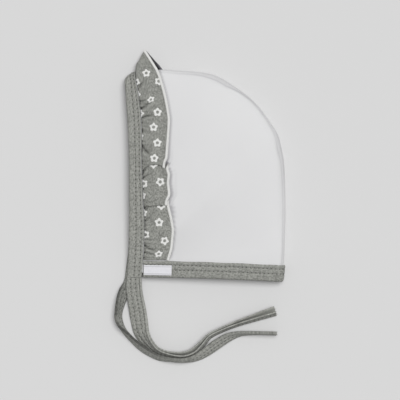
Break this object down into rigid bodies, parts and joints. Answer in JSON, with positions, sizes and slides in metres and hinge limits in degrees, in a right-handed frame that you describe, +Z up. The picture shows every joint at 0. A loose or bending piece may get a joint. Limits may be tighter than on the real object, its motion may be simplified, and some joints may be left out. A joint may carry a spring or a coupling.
{
  "type": "baby bonnet",
  "caption": "Soft jersey bonnet lying on its side, with a rounded crown seam, folded face and neck bindings, a gathered printed frill and two flat ties.",
  "frame": {"origin": "on the supporting surface, under the middle of the bonnet's box without its ties", "axes": "+Z up through the thickness of the bonnet lying on its side, +Y from the neck edge to the frill's peak at the top of the head, +X from the face opening to the back of the head"},
  "size_m": [0.1311, 0.2408, 0.0203],
  "materials": {
    "white_jersey": "matt knitted cotton",
    "grey_jersey": "matt mottled knitted cotton",
    "printed_jersey": "matt mottled knitted cotton with small pale flowers",
    "edging_thread": "soft overlocked thread",
    "label_weave": "smooth woven tape"
  },
  "bodies": {
    "root": {"side_panel_upper": "white_jersey", "side_panel_lower": "white_jersey", "face_binding": "grey_jersey", "neck_binding": "grey_jersey", "frill": "printed_jersey", "frill_edging": "edging_thread", "label": "label_weave", "tie_near": "grey_jersey", "tie_far": "grey_jersey"}
  },
  "joints": []
}
